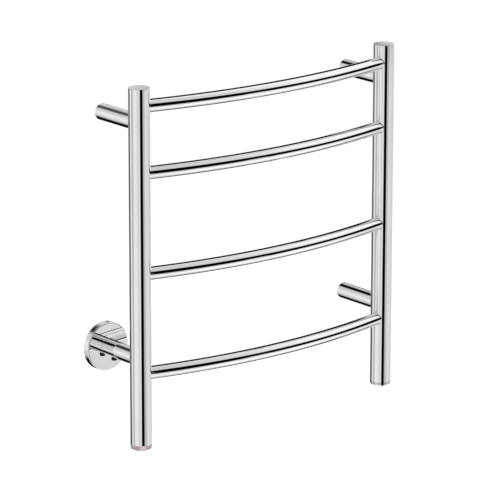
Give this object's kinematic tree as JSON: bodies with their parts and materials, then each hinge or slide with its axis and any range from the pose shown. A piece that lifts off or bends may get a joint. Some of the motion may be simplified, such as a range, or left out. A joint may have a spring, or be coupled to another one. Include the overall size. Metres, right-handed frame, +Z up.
{
  "type": "heated towel rail",
  "caption": "Wall-hung heated towel rail: round posts, bowed bars, stand-off arms, a round cover rose over the supply and a lit push switch at the foot of one post.",
  "frame": {"origin": "on the wall plane, midway between the two upper fixings", "axes": "+X to the right along the wall, +Y into the wall, +Z up along the posts"},
  "size_m": [0.521, 0.131, 0.549],
  "materials": {
    "polished_tube": "mirror-polished stainless steel tube",
    "polished_bar": "mirror-polished stainless steel tube, bent",
    "polished_arm": "mirror-polished stainless steel tube",
    "polished_cap": "polished stainless steel, fine turned lines on the flat",
    "polished_rose": "mirror-polished spun stainless steel",
    "polished_button": "polished stainless steel, dished",
    "turned_steel": "turned stainless steel with fine tool lines",
    "dark_steel": "blackened steel screws",
    "zinc_steel": "bright zinc plate",
    "brass": "drawn brass",
    "nylon": "natural white nylon",
    "cable_sheath": "silicone rubber sheath",
    "lead_sheath": "white flexible sheath",
    "black_plastic": "moulded glass-filled nylon",
    "black_rubber": "soft black rubber",
    "board_resin": "green coated circuit board",
    "relay_case": "moulded relay case",
    "capacitor_sleeve": "shrink sleeve",
    "light_resin": "clear resin",
    "ring_resin": "tinted translucent polycarbonate"
  },
  "bodies": {
    "rail": {"left_post": "polished_tube", "right_post": "polished_tube", "left_top_cap": "polished_cap", "right_top_cap": "polished_cap", "right_foot_cap": "polished_cap", "towel_bar_1": "polished_bar", "towel_bar_2": "polished_bar", "towel_bar_3": "polished_bar", "towel_bar_4": "polished_bar", "upper_left_arm": "polished_arm", "upper_right_arm": "polished_arm", "lower_right_arm": "polished_arm", "supply_arm": "polished_arm", "upper_left_boss": "turned_steel", "upper_right_boss": "turned_steel", "lower_right_boss": "turned_steel", "supply_boss": "turned_steel", "supply_wall_plate": "turned_steel", "grub_screws": "dark_steel", "supply_locking_screw": "dark_steel", "supply_connector": "nylon", "connector_tubes": "brass", "connector_screws": "zinc_steel", "heating_cable": "cable_sheath", "switch_lead": "lead_sheath", "switch_housing": "black_plastic", "housing_seal": "black_rubber", "cable_plug": "black_rubber", "control_board": "board_resin", "lead_terminals": "brass", "relay": "relay_case", "capacitor": "capacitor_sleeve", "indicator_lights": "light_resin", "micro_switch": "black_plastic", "light_ring": "ring_resin", "return_spring": "zinc_steel"},
    "rose": {"cover_rose": "polished_rose", "rose_grip_ring": "black_rubber"},
    "button": {"push_button": "polished_button"}
  },
  "joints": [
    {"name": "button_press", "type": "slide", "parent": "rail", "child": "button", "axis": [0, 0, 1], "range_m": [0, 0.0015], "stiffness_N_per_m": 400, "springref_m": -0.004, "deforming": ["return_spring"]},
    {"name": "rose_slide", "type": "slide", "parent": "rail", "child": "rose", "axis": [0, -1, 0], "range_m": [0, 0.00985]}
  ]
}
